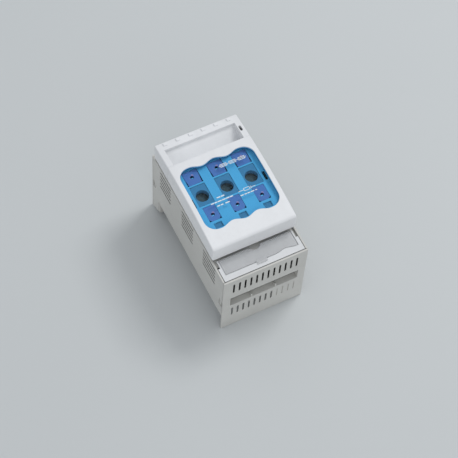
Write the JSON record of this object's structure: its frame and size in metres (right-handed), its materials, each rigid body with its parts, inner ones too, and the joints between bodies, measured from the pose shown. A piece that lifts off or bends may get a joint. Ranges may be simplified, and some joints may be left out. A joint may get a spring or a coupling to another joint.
{
  "type": "fuse switch-disconnector",
  "caption": "Multi-pole fuse switch-disconnector for blade-type fuse-links, with a hinged lid, tinted window and busbar contacts.",
  "frame": {"origin": "centre of the footprint, on the plane that the end feet stand on", "axes": "+Z to the front of the lid, +Y towards the grip end, -Y towards the cable end, X across the poles"},
  "size_m": [0.089, 0.158, 0.1186],
  "materials": {
    "housing_grey": "finely textured moulded thermoplastic",
    "lid_white": "finely textured moulded thermoplastic",
    "cover_grey": "satin moulded thermoplastic",
    "window_blue": "clear tinted polycarbonate",
    "label_clear": "clear polycarbonate",
    "label_paper": "plain card",
    "carrier_grey": "glass-fibre filled thermoplastic",
    "carrier_light": "moulded thermoplastic",
    "membrane_grey": "soft moulded membrane",
    "black_plastic": "moulded thermoplastic",
    "dark_insert": "moulded thermoplastic",
    "steel": "zinc plated",
    "copper": "bare copper",
    "silvered_copper": "silver plated copper",
    "ceramic": "unglazed steatite"
  },
  "bodies": {
    "base": {"base_frame": "housing_grey", "contact_carrier": "carrier_grey", "hinge_arm_left": "housing_grey", "hinge_arm_right": "housing_grey", "hinge_pin_left": "steel", "hinge_pin_right": "steel", "upper_jaw_1": "copper", "upper_jaw_2": "copper", "upper_jaw_3": "copper", "lower_jaw_1": "copper", "lower_jaw_2": "copper", "lower_jaw_3": "copper", "upper_jaw_spring_1": "steel", "upper_jaw_spring_2": "steel", "upper_jaw_spring_3": "steel", "lower_jaw_spring_1": "steel", "lower_jaw_spring_2": "steel", "lower_jaw_spring_3": "steel", "busbar_contact_1": "copper", "busbar_contact_2": "copper", "busbar_contact_3": "copper", "arc_chute_1": "steel", "arc_chute_2": "steel", "arc_chute_3": "steel"},
    "lid": {"lid_shell": "lid_white", "grip_bow": "lid_white", "inspection_window": "window_blue", "fuse_carrier": "carrier_light", "viewing_frame_1": "dark_insert", "viewing_frame_2": "dark_insert", "viewing_frame_3": "dark_insert", "lug_clip_upper_1": "dark_insert", "lug_clip_upper_2": "dark_insert", "lug_clip_upper_3": "dark_insert", "lug_clip_lower_1": "dark_insert", "lug_clip_lower_2": "dark_insert", "lug_clip_lower_3": "dark_insert", "fuse_body_1": "ceramic", "fuse_body_2": "ceramic", "fuse_body_3": "ceramic", "fuse_end_upper_1": "silvered_copper", "fuse_end_upper_2": "silvered_copper", "fuse_end_upper_3": "silvered_copper", "fuse_end_lower_1": "silvered_copper", "fuse_end_lower_2": "silvered_copper", "fuse_end_lower_3": "silvered_copper"},
    "lock": {"lock_slider": "black_plastic"},
    "cable_end": {"cable_shroud": "housing_grey", "cable_membrane": "membrane_grey"},
    "grip_end": {"grip_end_shroud": "housing_grey"},
    "cover": {"terminal_cover": "cover_grey", "label_card": "label_paper"},
    "label_flap": {"label_window": "label_clear"},
    "latch": {"busbar_latch": "carrier_grey"},
    "screw_1": {"clamp_screw_1": "steel"},
    "cage_1": {"clamp_cage_1": "steel"},
    "screw_2": {"clamp_screw_2": "steel"},
    "cage_2": {"clamp_cage_2": "steel"},
    "screw_3": {"clamp_screw_3": "steel"},
    "cage_3": {"clamp_cage_3": "steel"}
  },
  "joints": [
    {"name": "lid_hinge", "type": "hinge", "parent": "base", "child": "lid", "pos_m": [0, -0.047, 0.0994], "axis": [1, 0, 0], "range_deg": [0, 95]},
    {"name": "lock_slide", "type": "slide", "parent": "lid", "child": "lock", "axis": [0, 1, 0], "range_m": [0, 0.0022]},
    {"name": "cable_shroud_slide", "type": "slide", "parent": "base", "child": "cable_end", "axis": [0, -1, 0], "range_m": [0, 0.03]},
    {"name": "grip_shroud_slide", "type": "slide", "parent": "base", "child": "grip_end", "axis": [0, 1, 0], "range_m": [0, 0.03]},
    {"name": "cover_lift", "type": "slide", "parent": "base", "child": "cover", "axis": [0, 0, -1], "range_m": [-0.025, 0]},
    {"name": "label_flap_hinge", "type": "hinge", "parent": "cover", "child": "label_flap", "pos_m": [0, -0.0546, 0.0909], "axis": [1, 0, 0], "range_deg": [-80, 0]},
    {"name": "latch_slide", "type": "slide", "parent": "base", "child": "latch", "axis": [0, 1, 0], "range_m": [0, 0.005]},
    {"name": "clamp_screw_turn_1", "type": "hinge", "parent": "base", "child": "screw_1", "pos_m": [-0.026, -0.0625, 0.07], "axis": [0, 0, -1], "range_deg": [0, 1442]},
    {"name": "clamp_cage_lift_1", "type": "slide", "parent": "base", "child": "cage_1", "axis": [0, 0, 1], "range_m": [0, 0.005]},
    {"name": "clamp_screw_turn_2", "type": "hinge", "parent": "base", "child": "screw_2", "pos_m": [0, -0.0625, 0.07], "axis": [0, 0, -1], "range_deg": [0, 1442]},
    {"name": "clamp_cage_lift_2", "type": "slide", "parent": "base", "child": "cage_2", "axis": [0, 0, 1], "range_m": [0, 0.005]},
    {"name": "clamp_screw_turn_3", "type": "hinge", "parent": "base", "child": "screw_3", "pos_m": [0.026, -0.0625, 0.07], "axis": [0, 0, -1], "range_deg": [0, 1442]},
    {"name": "clamp_cage_lift_3", "type": "slide", "parent": "base", "child": "cage_3", "axis": [0, 0, 1], "range_m": [0, 0.005]}
  ],
  "couplings": [
    {"joint": "clamp_screw_turn_1", "follows": "clamp_cage_lift_1", "rad_per_m": 5026.5},
    {"joint": "clamp_screw_turn_2", "follows": "clamp_cage_lift_2", "rad_per_m": 5026.5},
    {"joint": "clamp_screw_turn_3", "follows": "clamp_cage_lift_3", "rad_per_m": 5026.5}
  ]
}
